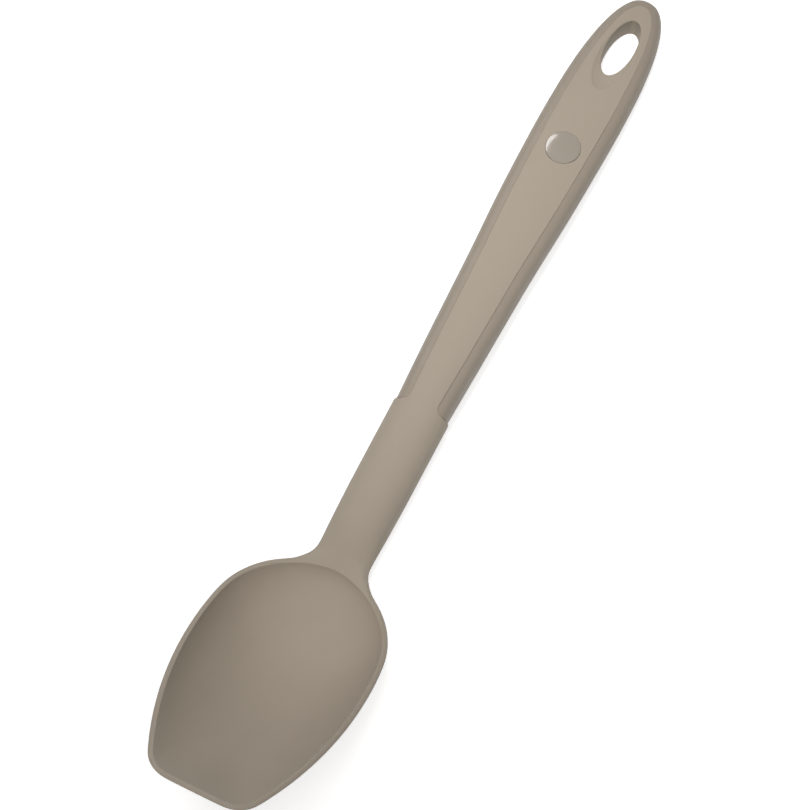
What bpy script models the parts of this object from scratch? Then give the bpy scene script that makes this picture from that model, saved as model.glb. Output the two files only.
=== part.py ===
"""Sauce spoon: one soft silicone skin moulded over a stiff core and a hard handle frame.

Everything is drawn in the sleeve's own frame, in millimetres: +X runs from the bowl to the handle's tip,
x = 0 is the step where the sleeve ends and the hard rails begin, and +Z is up. The whole spoon is then
laid down on its heel and its tip by the empty that carries it.
"""

import math

import bmesh
import bpy
from mathutils import Matrix, Vector

MM = 0.001
GAP = 0.3  # left between a piece and its neighbour

# Bowl, in its rim plane: p runs from the rim's back line to the front edge, q to the side
BOWL_LENGTH = 88.0
BOWL_WIDTH = 52.0
BOWL_WIDEST_AT = 38.0
BOWL_SIDE_RADIUS = 110.0
BOWL_BACK_RADIUS = 27.5
BOWL_FRONT_RADIUS = 9.0
BOWL_OUTER_DEPTH = 17.9
BOWL_WALL = 3.4  # at the deepest point
BOWL_DEEPEST_AT = 36.0
LIP_WIDTH = 1.6
LIP_BACK_WIDTH = 2.2
RIM_TILT = math.radians(24.2)  # rim plane against the sleeve
RIM_RISE = 0.3  # rim's back line above the sleeve's axis
LIP_ROUND = 0.8  # round-over of the rim's outer edge
OUTER_FULLNESS = (0.62, 0.90)  # shape of the belly at the sides and towards the front edge
INNER_FULLNESS = (0.80, 1.00)
CORNER_FADE = 3.0  # how fast the outline's corners fade into an oval towards the bottom

# Neck and sleeve
SLEEVE_LENGTH = 49.2  # step to the rim's back line
SLEEVE_WIDTH = 16.6
SLEEVE_HEIGHT = 12.4
NECK_WIDTH = 15.7
NECK_UNDERSIDE = 5.9  # below the sleeve's axis, where the neck runs into the heel
NECK_RUN_IN = 14.8  # how far the neck reaches into the bowl's heel
NECK_FILLET = 9.5  # plan radius between the neck and the bowl
# Along the neck, measured from the rim's back line towards the sleeve
NECK_HALF_WAY = 12.0  # where the width is half way between the neck's and the sleeve's
SLEEVE_FULL_FROM = 26.0
NECK_LEVEL_FROM = 16.0  # the underside has come down to the sleeve's here
UNDERSIDE_FROM = 5.0
NECK_TOPS = ((6.0, 3.7), (13.0, 5.7), (21.0, 6.2))  # place, height of the top
SECTION_FULLNESS = 2.15
FLARE_FULLNESS = 1.35

# Handle
HANDLE_LENGTH = 142.5  # along its arc, step to tip
HANDLE_DROOP = math.radians(12.15)  # how far the arc turns down from the step to the tip
TIP_ROUNDING = 45.1  # length of the rounded end, from the widest place to the tip
TIP_FULLNESS = 2.47
STEP = 0.5  # the sleeve stands proud of the rails by this much
# Widths against the share of the shank's length
SHANK_WIDTHS = ((0.0, SLEEVE_WIDTH - 2 * STEP), (0.21, 17.2), (0.48, 18.9), (0.745, 21.35), (1.0, 22.25))
RAIL_WIDTH = 3.5
RAIL_FULLNESS = 2.4
RAIL_END_RADIUS = 2.2  # the rails' inner corners at the sleeve
# Heights against the share of the handle's length: the soft panels above the rails, their edges above the arc
# and their crowns above their edges
PANEL_PROUD = ((0.0, 0.35), (0.745, 0.3), (0.887, 0.0))
PANEL_EDGE_HEIGHTS = ((0.0, 5.3), (0.284, 4.6), (0.674, 4.2), (1.0, 3.1))
PANEL_CROWNS = ((0.0, 0.9), (0.284, 0.8), (0.674, 0.6), (1.0, 0.4))
PANEL_RUN_OUT = 30.0  # over this length the panel leaves the sleeve's section for its own
FRAME_WEB = 4.6  # thickness of the hard web between the two panels

# Spigot of the frame inside the sleeve
SPIGOT_LENGTH = 18.0
SPIGOT_ROOT = 6.0  # how far it reaches into the frame's web
SPIGOT_WIDTH = 11.0
SPIGOT_HEIGHT = 4.2

# Hang hole
HOLE_TO_TIP = 18.75  # middle of the hole to the tip
HOLE_LENGTH = 19.8
HOLE_WIDTH = 8.4
HOLE_LINING = 1.2
SCOOP_LENGTH = 23.4  # shallow hollow in the front panel that runs into the hole
SCOOP_WIDTH = 9.9
SCOOP_DEPTH = 1.2
SCOOP_BEFORE_HOLE = 4.0

# Stiff core
CORE_REACH = 0.72  # share of the bowl's plan that the dished blade fills
CORE_WALL_BAND = (0.41, 0.70)  # where the blade lies in the wall, from outside to inside
CORE_BAR_WIDTH = 7.0
CORE_BAR_HEIGHT = 2.0
CORE_TANG_LENGTH = 60.0
CORE_BEND_FROM = 40.0  # before the step, where the bar leaves the sleeve's axis

# Plain round inlay on the front panel
BADGE_DIAMETER = 10.0
BADGE_TO_HOLE = 37.05  # between their middles
BADGE_THICKNESS = 1.1
BADGE_DOME = 0.5
BADGE_SEAT_DEPTH = 0.9

# Flats that the spoon rests on
REST_FLAT = 0.35

WIDEST_AT = HANDLE_LENGTH - TIP_ROUNDING
HOLE_AT = HANDLE_LENGTH - HOLE_TO_TIP
BADGE_AT = HOLE_AT - BADGE_TO_HOLE

OUTLINE_POINTS = 11  # on each arc of the half outline
BOWL_RINGS = 9
HANDLE_STATIONS = 16
TIP_STATIONS = 11


def monotone(points, x):
    """Smooth curve through a few (place, value) pairs, with no overshoot between them."""
    xs = [p[0] for p in points]
    ys = [p[1] for p in points]
    if x <= xs[0]:
        return ys[0]
    if x >= xs[-1]:
        return ys[-1]
    steps = [(ys[i + 1] - ys[i]) / (xs[i + 1] - xs[i]) for i in range(len(xs) - 1)]
    slopes = [steps[0]]
    for before, after in zip(steps, steps[1:]):
        same_way = before * after > 0
        slopes.append(2 * before * after / (before + after) if same_way else 0.0)
    slopes.append(0.0 if abs(steps[-1]) < abs(steps[0]) else steps[-1])
    i = max(k for k in range(len(xs) - 1) if xs[k] <= x)
    width = xs[i + 1] - xs[i]
    u = (x - xs[i]) / width
    start = (1 + 2 * u) * (1 - u) ** 2 * ys[i] + u * (1 - u) ** 2 * width * slopes[i]
    end = u * u * (3 - 2 * u) * ys[i + 1] + u * u * (u - 1) * width * slopes[i + 1]
    return start + end


def superellipse(angle, half_width, half_height, fullness):
    """Point at an angle on a rounded section."""
    c, s = math.cos(angle), math.sin(angle)
    y = half_width * math.copysign(abs(c) ** (2 / fullness), c)
    z = half_height * math.copysign(abs(s) ** (2 / fullness), s)
    return y, z


# The bowl's rim

def rim_arcs(lip, back_lip):
    """Centres and radii of the half outline, moved inwards by the lip: side arc, rear corner, front corner."""
    half = BOWL_WIDTH / 2
    side = (BOWL_WIDEST_AT, half - BOWL_SIDE_RADIUS)
    radius = BOWL_SIDE_RADIUS - lip
    rear = BOWL_BACK_RADIUS - lip
    front = BOWL_FRONT_RADIUS - lip
    rear_p = back_lip + rear
    rear_q = side[1] + math.sqrt((radius - rear) ** 2 - (rear_p - side[0]) ** 2)
    front_p = BOWL_LENGTH - lip - front
    front_q = side[1] + math.sqrt((radius - front) ** 2 - (front_p - side[0]) ** 2)
    return (side, radius), ((rear_p, rear_q), rear), ((front_p, front_q), front)


def rim_outline(lip=0.0, back_lip=0.0):
    """Closed outline of the rim as (p, q) pairs, symmetric about q = 0."""
    (side, radius), (rear, rear_radius), (front, front_radius) = rim_arcs(lip, back_lip)
    rear_end = math.atan2(rear[1] - side[1], rear[0] - side[0])
    front_start = math.atan2(front[1] - side[1], front[0] - side[0])
    half = []

    def arc(centre, size, begin, end, count, skip):
        for k in range(skip, count + 1):
            angle = begin + (end - begin) * k / count
            half.append((centre[0] + size * math.cos(angle), centre[1] + size * math.sin(angle)))

    rear_begin = math.pi - math.asin(max(-1.0, min(1.0, -rear[1] / rear_radius)))
    arc(rear, rear_radius, rear_begin, rear_end, OUTLINE_POINTS, 0)
    arc(side, radius, rear_end, front_start, OUTLINE_POINTS, 1)
    arc(front, front_radius, front_start, 0.0, OUTLINE_POINTS // 2, 1)
    half[0] = (half[0][0], 0.0)
    flat_steps = 3
    p_front, q_front = half[-1]
    half += [(p_front, q_front * (1 - k / flat_steps)) for k in range(1, flat_steps + 1)]
    mirrored = [(p, -q) for p, q in reversed(half[1:-1])]
    return half + mirrored


def bowl_depth(share, direction, depth, fullness):
    """Depth below the rim plane at a share of the way out from the deepest point."""
    side, front = fullness
    exponent = side + (front - side) * max(0.0, math.cos(direction)) ** 2
    return depth * max(0.0, 1 - share * share) ** exponent


def oval_reach(direction):
    """Distance from the deepest point to the plain oval that the rim's corners fade into."""
    along = BOWL_LENGTH - BOWL_DEEPEST_AT if math.cos(direction) > 0 else BOWL_DEEPEST_AT
    return 1 / math.hypot(math.cos(direction) / along, math.sin(direction) / (BOWL_WIDTH / 2))


def bowl_surface_point(outline_point, share, inner):
    """(p, q, depth) on the bowl's inner or outer surface."""
    p, q = outline_point
    dp, dq = p - BOWL_DEEPEST_AT, q
    direction = math.atan2(dq, dp)
    reach = math.hypot(dp, dq)
    oval = min(oval_reach(direction), reach)
    out = share * (oval + (reach - oval) * share ** CORNER_FADE)
    if inner:
        drop = bowl_depth(share, direction, BOWL_OUTER_DEPTH - BOWL_WALL, INNER_FULLNESS)
    else:
        drop = LIP_ROUND + bowl_depth(share, direction, BOWL_OUTER_DEPTH - LIP_ROUND, OUTER_FULLNESS)
    return Vector((BOWL_DEEPEST_AT + out * math.cos(direction), out * math.sin(direction), drop))


def from_rim(point):
    """A point given as (p, q, depth) in the rim's frame, in the sleeve's frame."""
    p, q, depth = point
    x = -SLEEVE_LENGTH - p * math.cos(RIM_TILT) - depth * math.sin(RIM_TILT)
    z = RIM_RISE + p * math.sin(RIM_TILT) - depth * math.cos(RIM_TILT)
    return Vector((x, q, z))


def ring_shares(reach=1.0, count=BOWL_RINGS):
    """Shares from the edge inwards, closer together near the edge, where the wall is steep."""
    return [reach * math.cos(math.radians(86.0) * k / count) for k in range(count + 1)]


def bowl_rings(inner, lip, back_lip):
    outline = rim_outline(lip, back_lip)
    return [[from_rim(bowl_surface_point(o, s, inner)) for o in outline] for s in ring_shares()]


def hull_rings():
    """Outside of the bowl, with its rim rounded over."""
    rings = []
    for turn in (0.0, 30.0, 60.0):
        inset = LIP_ROUND * (1 - math.sin(math.radians(turn)))
        depth = LIP_ROUND * (1 - math.cos(math.radians(turn)))
        rings.append([from_rim(Vector((p, q, depth))) for p, q in rim_outline(inset, inset)])
    return rings + bowl_rings(False, 0.0, 0.0)


# The handle's arc

def arc_point(along, side, height):
    """A point given by its place along the handle's arc, sideways and above it."""
    if along <= 0:
        return Vector((along, side, height))
    radius = HANDLE_LENGTH / HANDLE_DROOP
    turn = along / radius
    return Vector((
        (radius + height) * math.sin(turn),
        side,
        (radius + height) * math.cos(turn) - radius,
    ))


def arc_matrix(along, height=0.0):
    """Placement of something that stands square on the handle's arc."""
    turn = along / (HANDLE_LENGTH / HANDLE_DROOP)
    spot = arc_point(along, 0.0, height)
    return Matrix.Translation(spot * MM) @ Matrix.Rotation(turn, 4, "Y")


def rounded_end(along, start, end, fullness):
    """Share of the full size that is left towards a rounded end."""
    reach = (along - start) / (end - start)
    return max(0.0, 1 - max(0.0, reach) ** fullness) ** (1 / fullness)


def on_handle(table, along):
    """Value from a table against the share of the handle's length."""
    return monotone(table, along / HANDLE_LENGTH)


def handle_half_width(along):
    half = monotone(SHANK_WIDTHS, along / WIDEST_AT) / 2
    return half * rounded_end(along, WIDEST_AT, HANDLE_LENGTH, TIP_FULLNESS)


def panel_half_width(along, inset=0.0):
    """Half width of the pocket for a soft panel. The inset makes the panel that lies in it."""
    half = monotone(SHANK_WIDTHS, along / WIDEST_AT) / 2 - RAIL_WIDTH
    round_off = RAIL_END_RADIUS + inset
    before = min(max(RAIL_END_RADIUS - along, 0.0), round_off)
    half += RAIL_END_RADIUS - math.sqrt(round_off ** 2 - before ** 2)
    return half * rounded_end(along, WIDEST_AT, HANDLE_LENGTH - RAIL_WIDTH - inset, TIP_FULLNESS)


def stations(lead, end):
    """Places along the handle: those that lead, then even along the shank and crowded at the rounded end."""
    start = lead[-1]
    shank = [start + (WIDEST_AT - start) * k / HANDLE_STATIONS for k in range(1, HANDLE_STATIONS)]
    turn = math.radians(87.0) / TIP_STATIONS
    power = 2 / TIP_FULLNESS
    tip = [WIDEST_AT + (end - WIDEST_AT) * math.sin(turn * k) ** power for k in range(TIP_STATIONS + 1)]
    return lead + shank + tip


def rail_end_places():
    """Places that follow the rails' rounded inner corners."""
    return [RAIL_END_RADIUS * (1 - math.cos(math.radians(22.5 * k))) for k in range(5)]


# Mesh helpers

def new_object(name, mesh, collection, parent):
    obj = bpy.data.objects.new(name, mesh)
    collection.objects.link(obj)
    obj.parent = parent
    return obj


def mesh_from_rings(name, rings):
    """Closed solid through rings of equally many points, with flat caps. Points are in millimetres."""
    bm = bmesh.new()
    rows = [[bm.verts.new(point * MM) for point in ring] for ring in rings]
    count = len(rows[0])
    for low, high in zip(rows, rows[1:]):
        for k in range(count):
            bm.faces.new((low[k], low[(k + 1) % count], high[(k + 1) % count], high[k]))
    bm.faces.new(rows[0])
    bm.faces.new(rows[-1])
    bmesh.ops.recalc_face_normals(bm, faces=bm.faces)
    mesh = bpy.data.meshes.new(name)
    bm.to_mesh(mesh)
    bm.free()
    return mesh


def shade(obj, angle=40.0):
    obj.data.shade_smooth()
    obj.data.set_sharp_from_angle(angle=math.radians(angle))


def as_cutter(obj):
    obj.hide_render = True
    obj.display_type = "WIRE"
    return obj


def boolean(obj, other, operation):
    modifier = obj.modifiers.new(f"{operation.lower()} {other.name}", "BOOLEAN")
    modifier.operation = operation
    modifier.solver = "EXACT"
    modifier.object = other


def plastic(name, colour, roughness):
    material = bpy.data.materials.new(name)
    material.use_nodes = True
    shader = material.node_tree.nodes["Principled BSDF"]
    shader.inputs["Base Color"].default_value = (*colour, 1.0)
    shader.inputs["Roughness"].default_value = roughness
    shader.inputs["Metallic"].default_value = 0.0
    return material


def oval_column(name, half_length, half_width, half_height, collection, parent):
    """Upright oval prism through the hang hole, square to the handle's arc."""
    bm = bmesh.new()
    bmesh.ops.create_cone(bm, cap_ends=True, segments=40, radius1=1, radius2=1, depth=2)
    bmesh.ops.scale(bm, vec=Vector((half_length, half_width, half_height)) * MM, verts=bm.verts)
    mesh = bpy.data.meshes.new(name)
    bm.to_mesh(mesh)
    bm.free()
    obj = new_object(name, mesh, collection, parent)
    obj.matrix_local = arc_matrix(HOLE_AT)
    return obj


# Sections

def neck_flare(count):
    """Half outline from the neck's side, round its fillet, to where it touches the bowl, as (p, q) pairs."""
    _, (rear, rear_radius), _ = rim_arcs(0.0, 0.0)
    centre_q = NECK_WIDTH / 2 + NECK_FILLET
    reach = rear_radius + NECK_FILLET
    centre_p = rear[0] - math.sqrt(reach ** 2 - (centre_q - rear[1]) ** 2)
    begin = -math.pi / 2
    end = math.atan2(rear[1] - centre_q, rear[0] - centre_p)
    points = []
    for k in range(count + 1):
        angle = begin + (end - begin) * k / count
        points.append((centre_p + NECK_FILLET * math.cos(angle), centre_q + NECK_FILLET * math.sin(angle)))
    return points


def neck_rings():
    """Neck and sleeve: upright rounded sections from the step, flaring into the heel of the bowl."""
    back = -SLEEVE_LENGTH
    half_sleeve = SLEEVE_HEIGHT / 2
    slope = math.tan(RIM_TILT)
    flare = [(back - p * math.cos(RIM_TILT), q) for p, q in reversed(neck_flare(6))]
    start, touch = flare[-1][0], flare[0]
    inside = back - NECK_RUN_IN

    def rim(x):
        return RIM_RISE + (back - x) * slope

    widths = [(inside, touch[1] * 0.6), (touch[0] - 2.5, touch[1])] + flare
    widths += [(back + NECK_HALF_WAY, (NECK_WIDTH + SLEEVE_WIDTH) / 4), (back + SLEEVE_FULL_FROM, SLEEVE_WIDTH / 2)]
    widths += [(0.0, SLEEVE_WIDTH / 2)]
    edges = (
        (inside, rim(inside) - 2.0),
        (touch[0], rim(touch[0]) - LIP_ROUND / 2),
        (start, 0.0),
        (0.0, 0.0),
    )
    tops = (
        (inside, rim(inside) - 0.5),
        (touch[0], rim(touch[0]) + 0.1),
        (back, RIM_RISE + 1.1),
        *((back + place, height) for place, height in NECK_TOPS),
        (0.0, half_sleeve),
    )
    bottoms = ((inside, -NECK_UNDERSIDE), (back + UNDERSIDE_FROM, -NECK_UNDERSIDE))
    bottoms += ((back + NECK_LEVEL_FROM, -half_sleeve), (0.0, -half_sleeve))
    fullnesses = (
        (inside, FLARE_FULLNESS),
        (touch[0], FLARE_FULLNESS),
        (start, (FLARE_FULLNESS + SECTION_FULLNESS) / 2),
        (back + NECK_HALF_WAY, SECTION_FULLNESS),
        (0.0, SECTION_FULLNESS),
    )
    count = 28
    turn = 2 * math.pi / count
    rings = []
    for x in sorted({x for table in (widths, tops, fullnesses) for x, _ in table}):
        half, edge, fullness = (monotone(table, x) for table in (widths, edges, fullnesses))
        up, down = monotone(tops, x) - edge, edge - monotone(bottoms, x)
        ring = []
        for k in range(count):
            y, z = superellipse(turn * k, half, 1.0, fullness)
            ring.append(Vector((x, y, edge + z * (up if z > 0 else down))))
        rings.append(ring)
    return rings


def frame_rings():
    """Full outer form of the hard frame: rounded rails at the sides, flat in between."""
    rings = []
    quarter = 7
    for along in stations([GAP], HANDLE_LENGTH):
        half = handle_half_width(along)
        closing = rounded_end(along, HANDLE_LENGTH - RAIL_WIDTH, HANDLE_LENGTH, RAIL_FULLNESS)
        top = (on_handle(PANEL_EDGE_HEIGHTS, along) - on_handle(PANEL_PROUD, along)) * max(closing, 0.05)
        rail = min(RAIL_WIDTH, half * 0.9)
        upper = []
        for k in range(quarter + 1):
            y, z = superellipse(math.pi / 2 * k / quarter, rail, top, RAIL_FULLNESS)
            upper.append((half - rail + y, z))
        left = [(-y, z) for y, z in reversed(upper)]
        lower = [(y, -z) for y, z in reversed((upper + left)[1:-1])]
        section = upper + left + lower
        rings.append([arc_point(along, y, z) for y, z in section])
    return rings


def pocket_rings(side):
    """Pocket for a soft panel, on the front (side = 1) or the back (side = -1)."""
    clear = SLEEVE_HEIGHT
    rings = []
    for along in stations([-2.0] + rail_end_places(), HANDLE_LENGTH - RAIL_WIDTH):
        half = max(panel_half_width(along), 0.2)
        section = [(half, FRAME_WEB / 2), (half, clear), (-half, clear), (-half, FRAME_WEB / 2)]
        rings.append([arc_point(along, y, side * z) for y, z in section])
    return rings


def sleeve_top(y):
    """Height of the sleeve's section above its axis."""
    share = min(abs(y) / (SLEEVE_WIDTH / 2), 1.0)
    return SLEEVE_HEIGHT / 2 * (1 - share ** SECTION_FULLNESS) ** (1 / SECTION_FULLNESS)


def tongue_rings(side):
    """Soft panel on the front or the back: it leaves the sleeve with its section, and is rooted inside it."""
    rings = []
    across = 8
    floor = FRAME_WEB / 2 + GAP
    root = -6.0
    sunk_at_step = 0.05
    lead = [root] + [place - GAP for place in rail_end_places()]
    for along in stations(lead, HANDLE_LENGTH - RAIL_WIDTH - GAP):
        half = max(panel_half_width(along, GAP), 0.2)
        widest = max(panel_half_width(RAIL_END_RADIUS), half)
        edge = on_handle(PANEL_EDGE_HEIGHTS, along)
        crown = on_handle(PANEL_CROWNS, along)
        away = min(max(along / PANEL_RUN_OUT, 0.0), 1.0)
        own = away * away * (3 - 2 * away)
        sunk = sunk_at_step * (1 - own) + (0.6 if along == root else 0.0)
        section = [(half, floor), (-half, floor)]
        for k in range(across + 1):
            y = half * (2 * k / across - 1)
            crowned = edge + crown * (1 - (y / widest) ** 2)
            section.append((y, sleeve_top(y) * (1 - own) + crowned * own - sunk))
        rings.append([arc_point(along, y, side * z) for y, z in section])
    return rings


def bar_section(width, height, grow):
    """Rounded bar section, made bigger all round by grow."""
    count = 12
    turn = 2 * math.pi / count
    return [superellipse(turn * k, width / 2 + grow, height / 2 + grow, 5.0) for k in range(count)]


def wall_point(share, band):
    """Point in the bowl's back wall on the centre line, at a band from outside (0) to inside (1)."""
    outer = bowl_surface_point((0.0, 0.0), share, False)
    inner = bowl_surface_point((LIP_BACK_WIDTH, 0.0), share, True)
    return from_rim(outer.lerp(inner, band))


def core_bar_rings(grow):
    """Tang, bar and shank of the stiff core, from the handle to the heel of the bowl."""
    low, high = CORE_WALL_BAND
    band = (low + high) / 2
    seat = wall_point(CORE_REACH * 0.9, band)
    edge = wall_point(CORE_REACH * 1.14, band)
    blade = BOWL_WALL * (high - low)
    path = [(CORE_TANG_LENGTH + grow, None, CORE_BAR_WIDTH, CORE_BAR_HEIGHT)]
    path += [(CORE_TANG_LENGTH * k / 6, None, CORE_BAR_WIDTH, CORE_BAR_HEIGHT) for k in range(5, -1, -1)]
    path += [(-CORE_BEND_FROM * k / 2, None, CORE_BAR_WIDTH, CORE_BAR_HEIGHT) for k in (1, 2)]
    bend = Vector((-CORE_BEND_FROM, 0, 0))
    for share, width, height in ((0.35, 7.5, 2.2), (0.7, 8.5, 2.0)):
        spot = bend.lerp(edge, share)
        path.append((spot.x, spot.z + 0.6 * (1 - share), width, height))
    path.append((edge.x, edge.z, 9.5, blade + 0.5))
    path.append((seat.x, seat.z, 11.0, blade * 0.8))
    rings = []
    for x, z, width, height in path:
        section = bar_section(width, height, grow)
        if z is None:
            rings.append([arc_point(x, y, h) for y, h in section])
        else:
            rings.append([Vector((x, y, z + h)) for y, h in section])
    return rings


def core_blade_rings(grow):
    """Dished blade of the stiff core: its lower side from the middle outwards, then its upper side back."""
    outer_outline = rim_outline()
    inner_outline = rim_outline(LIP_WIDTH, LIP_BACK_WIDTH)
    low, high = CORE_WALL_BAND
    spread = grow / BOWL_WALL
    reach = CORE_REACH + 2 * grow / BOWL_WIDTH
    shares = [reach * math.sin(math.radians(90.0) * k / 5) for k in range(1, 6)]
    shares = [0.04] + shares

    def ring(share, band):
        points = []
        for outer, inner in zip(outer_outline, inner_outline):
            a = bowl_surface_point(outer, share, False)
            b = bowl_surface_point(inner, share, True)
            points.append(from_rim(a.lerp(b, band)))
        return points

    rings = [ring(share, low - spread) for share in shares]
    rings += [ring(share, high + spread) for share in reversed(shares)]
    return rings


# Rest attitude

def lay_down(points):
    """Matrix, in millimetres, that puts the spoon on its heel and tip, with the origin under its middle."""
    tilt = 0.0
    for _ in range(12):
        turned = [Matrix.Rotation(-tilt, 3, "Y") @ p for p in points]
        heel = min((p for p in turned if p.x < 0), key=lambda p: p.z)
        tip = min((p for p in turned if p.x > 0), key=lambda p: p.z)
        tilt -= math.atan2(tip.z - heel.z, tip.x - heel.x)
    turned = [Matrix.Rotation(-tilt, 3, "Y") @ p for p in points]
    middle = (min(p.x for p in turned) + max(p.x for p in turned)) / 2
    floor = min(p.z for p in turned) + REST_FLAT
    return tilt, Vector((-middle, 0.0, -floor))


# Pieces

def build_spoon():
    for obj in list(bpy.data.objects):
        bpy.data.objects.remove(obj)
    scene = bpy.context.scene
    parts = bpy.data.collections.new("sauce_spoon")
    cutters = bpy.data.collections.new("cutters")
    scene.collection.children.link(parts)
    scene.collection.children.link(cutters)

    outside = [p for ring in hull_rings() for p in ring]
    outside += [p for ring in neck_rings() + frame_rings() for p in ring]
    tilt, shift = lay_down(outside)
    rest = bpy.data.objects.new("spoon_at_rest", None)
    parts.objects.link(rest)
    rest.location = shift * MM
    rest.rotation_euler = (0.0, -tilt, 0.0)

    def solid(name, rings, collection=parts):
        obj = new_object(name, mesh_from_rings(name, rings), collection, rest)
        return obj if collection is parts else as_cutter(obj)

    table = as_cutter(new_table(cutters))
    build_silicone(solid, parts, cutters, rest, table)
    build_frame(solid, cutters, rest, table)
    build_core(solid, cutters)
    build_badge(parts, rest)


def new_table(cutters):
    """Block under the resting spoon. Its top trims the flats on the heel and the tip."""
    size = 400.0
    bm = bmesh.new()
    bmesh.ops.create_cube(bm, size=size * MM)
    bmesh.ops.translate(bm, vec=(0.0, 0.0, -size / 2 * MM), verts=bm.verts)
    mesh = bpy.data.meshes.new("table")
    bm.to_mesh(mesh)
    bm.free()
    obj = bpy.data.objects.new("table", mesh)
    cutters.objects.link(obj)
    return obj


def build_silicone(solid, parts, cutters, rest, table):
    """Bowl, neck, sleeve, both soft panels and the lining of the hang hole, as one moulding."""
    skin = solid("silicone_skin", hull_rings())
    boolean(skin, solid("neck_and_sleeve", neck_rings(), cutters), "UNION")
    boolean(skin, solid("front_tongue", tongue_rings(1), cutters), "UNION")
    boolean(skin, solid("back_tongue", tongue_rings(-1), cutters), "UNION")
    long, wide = HOLE_LENGTH / 2, HOLE_WIDTH / 2
    lining_height = FRAME_WEB / 2 + GAP + 0.4
    lining = oval_column("hole_lining", long + HOLE_LINING, wide + HOLE_LINING, lining_height, cutters, rest)
    boolean(skin, as_cutter(lining), "UNION")
    hole = oval_column("hang_hole", long, wide, SLEEVE_HEIGHT, cutters, rest)
    boolean(skin, as_cutter(hole), "DIFFERENCE")
    boolean(skin, scoop_cutter(cutters, rest), "DIFFERENCE")

    above = 14.0
    cavity = bowl_rings(True, LIP_WIDTH, LIP_BACK_WIDTH)
    lift = from_rim(Vector((0, 0, -above))) - from_rim(Vector((0, 0, 0)))
    cavity.insert(0, [point + lift for point in cavity[0]])
    boolean(skin, solid("bowl_hollow", cavity, cutters), "DIFFERENCE")

    boolean(skin, solid("core_bar_pocket", core_bar_rings(GAP), cutters), "DIFFERENCE")
    boolean(skin, solid("core_blade_pocket", core_blade_rings(GAP), cutters), "DIFFERENCE")
    section = bar_section(SPIGOT_WIDTH, SPIGOT_HEIGHT, GAP)
    spigot = [[Vector((x, y, z)) for y, z in section] for x in (0.8, -SPIGOT_LENGTH - GAP)]
    boolean(skin, solid("spigot_pocket", spigot, cutters), "DIFFERENCE")

    boolean(skin, badge_cutter(cutters, rest), "DIFFERENCE")
    boolean(skin, table, "DIFFERENCE")
    skin.data.materials.append(plastic("silicone", (0.418, 0.364, 0.296), 0.62))
    shade(skin)


def scoop_cutter(cutters, rest):
    """Flattened ball that sinks the front panel a little where it runs into the hang hole."""
    bm = bmesh.new()
    bmesh.ops.create_uvsphere(bm, u_segments=40, v_segments=14, radius=1)
    size = Vector((SCOOP_LENGTH / 2, SCOOP_WIDTH / 2, SCOOP_DEPTH))
    bmesh.ops.scale(bm, vec=size * MM, verts=bm.verts)
    mesh = bpy.data.meshes.new("scoop")
    bm.to_mesh(mesh)
    bm.free()
    obj = new_object("scoop", mesh, cutters, rest)
    spot = HOLE_AT - SCOOP_BEFORE_HOLE
    obj.matrix_local = arc_matrix(spot, panel_top(spot))
    return as_cutter(obj)


def build_frame(solid, cutters, rest, table):
    """Hard handle: two rails that meet round the tip, the web between the panels and the spigot."""
    frame = solid("handle_frame", frame_rings())
    section = bar_section(SPIGOT_WIDTH, SPIGOT_HEIGHT, 0.0)
    spigot = [[Vector((x, y, z)) for y, z in section] for x in (SPIGOT_ROOT, -SPIGOT_LENGTH)]
    boolean(frame, solid("spigot", spigot, cutters), "UNION")
    boolean(frame, solid("front_pocket", pocket_rings(1), cutters), "DIFFERENCE")
    boolean(frame, solid("back_pocket", pocket_rings(-1), cutters), "DIFFERENCE")
    clear = HOLE_LINING + GAP
    size = (HOLE_LENGTH / 2 + clear, HOLE_WIDTH / 2 + clear, SLEEVE_HEIGHT)
    boolean(frame, as_cutter(oval_column("lining_hole", *size, cutters, rest)), "DIFFERENCE")
    boolean(frame, solid("tang_pocket", core_bar_rings(GAP), cutters), "DIFFERENCE")
    boolean(frame, table, "DIFFERENCE")
    frame.data.materials.append(plastic("nylon", (0.366, 0.315, 0.251), 0.5))
    shade(frame)


def build_core(solid, cutters):
    """Stiff core inside the silicone: dished blade, bar through the neck and tang in the frame."""
    core = solid("stiffening_core", core_blade_rings(0.0))
    boolean(core, solid("core_bar", core_bar_rings(0.0), cutters), "UNION")
    core.data.materials.append(plastic("core_nylon", (0.05, 0.05, 0.05), 0.45))
    shade(core)


def panel_top(along):
    """Height of the front panel's crown above the arc."""
    return on_handle(PANEL_EDGE_HEIGHTS, along) + on_handle(PANEL_CROWNS, along)


def badge_cutter(cutters, rest):
    bm = bmesh.new()
    depth = 2 * BADGE_SEAT_DEPTH
    radius = (BADGE_DIAMETER / 2 + GAP) * MM
    bmesh.ops.create_cone(bm, cap_ends=True, segments=36, radius1=radius, radius2=radius, depth=depth * MM)
    mesh = bpy.data.meshes.new("badge_seat")
    bm.to_mesh(mesh)
    bm.free()
    obj = new_object("badge_seat", mesh, cutters, rest)
    obj.matrix_local = arc_matrix(BADGE_AT, panel_top(BADGE_AT))
    return as_cutter(obj)


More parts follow.
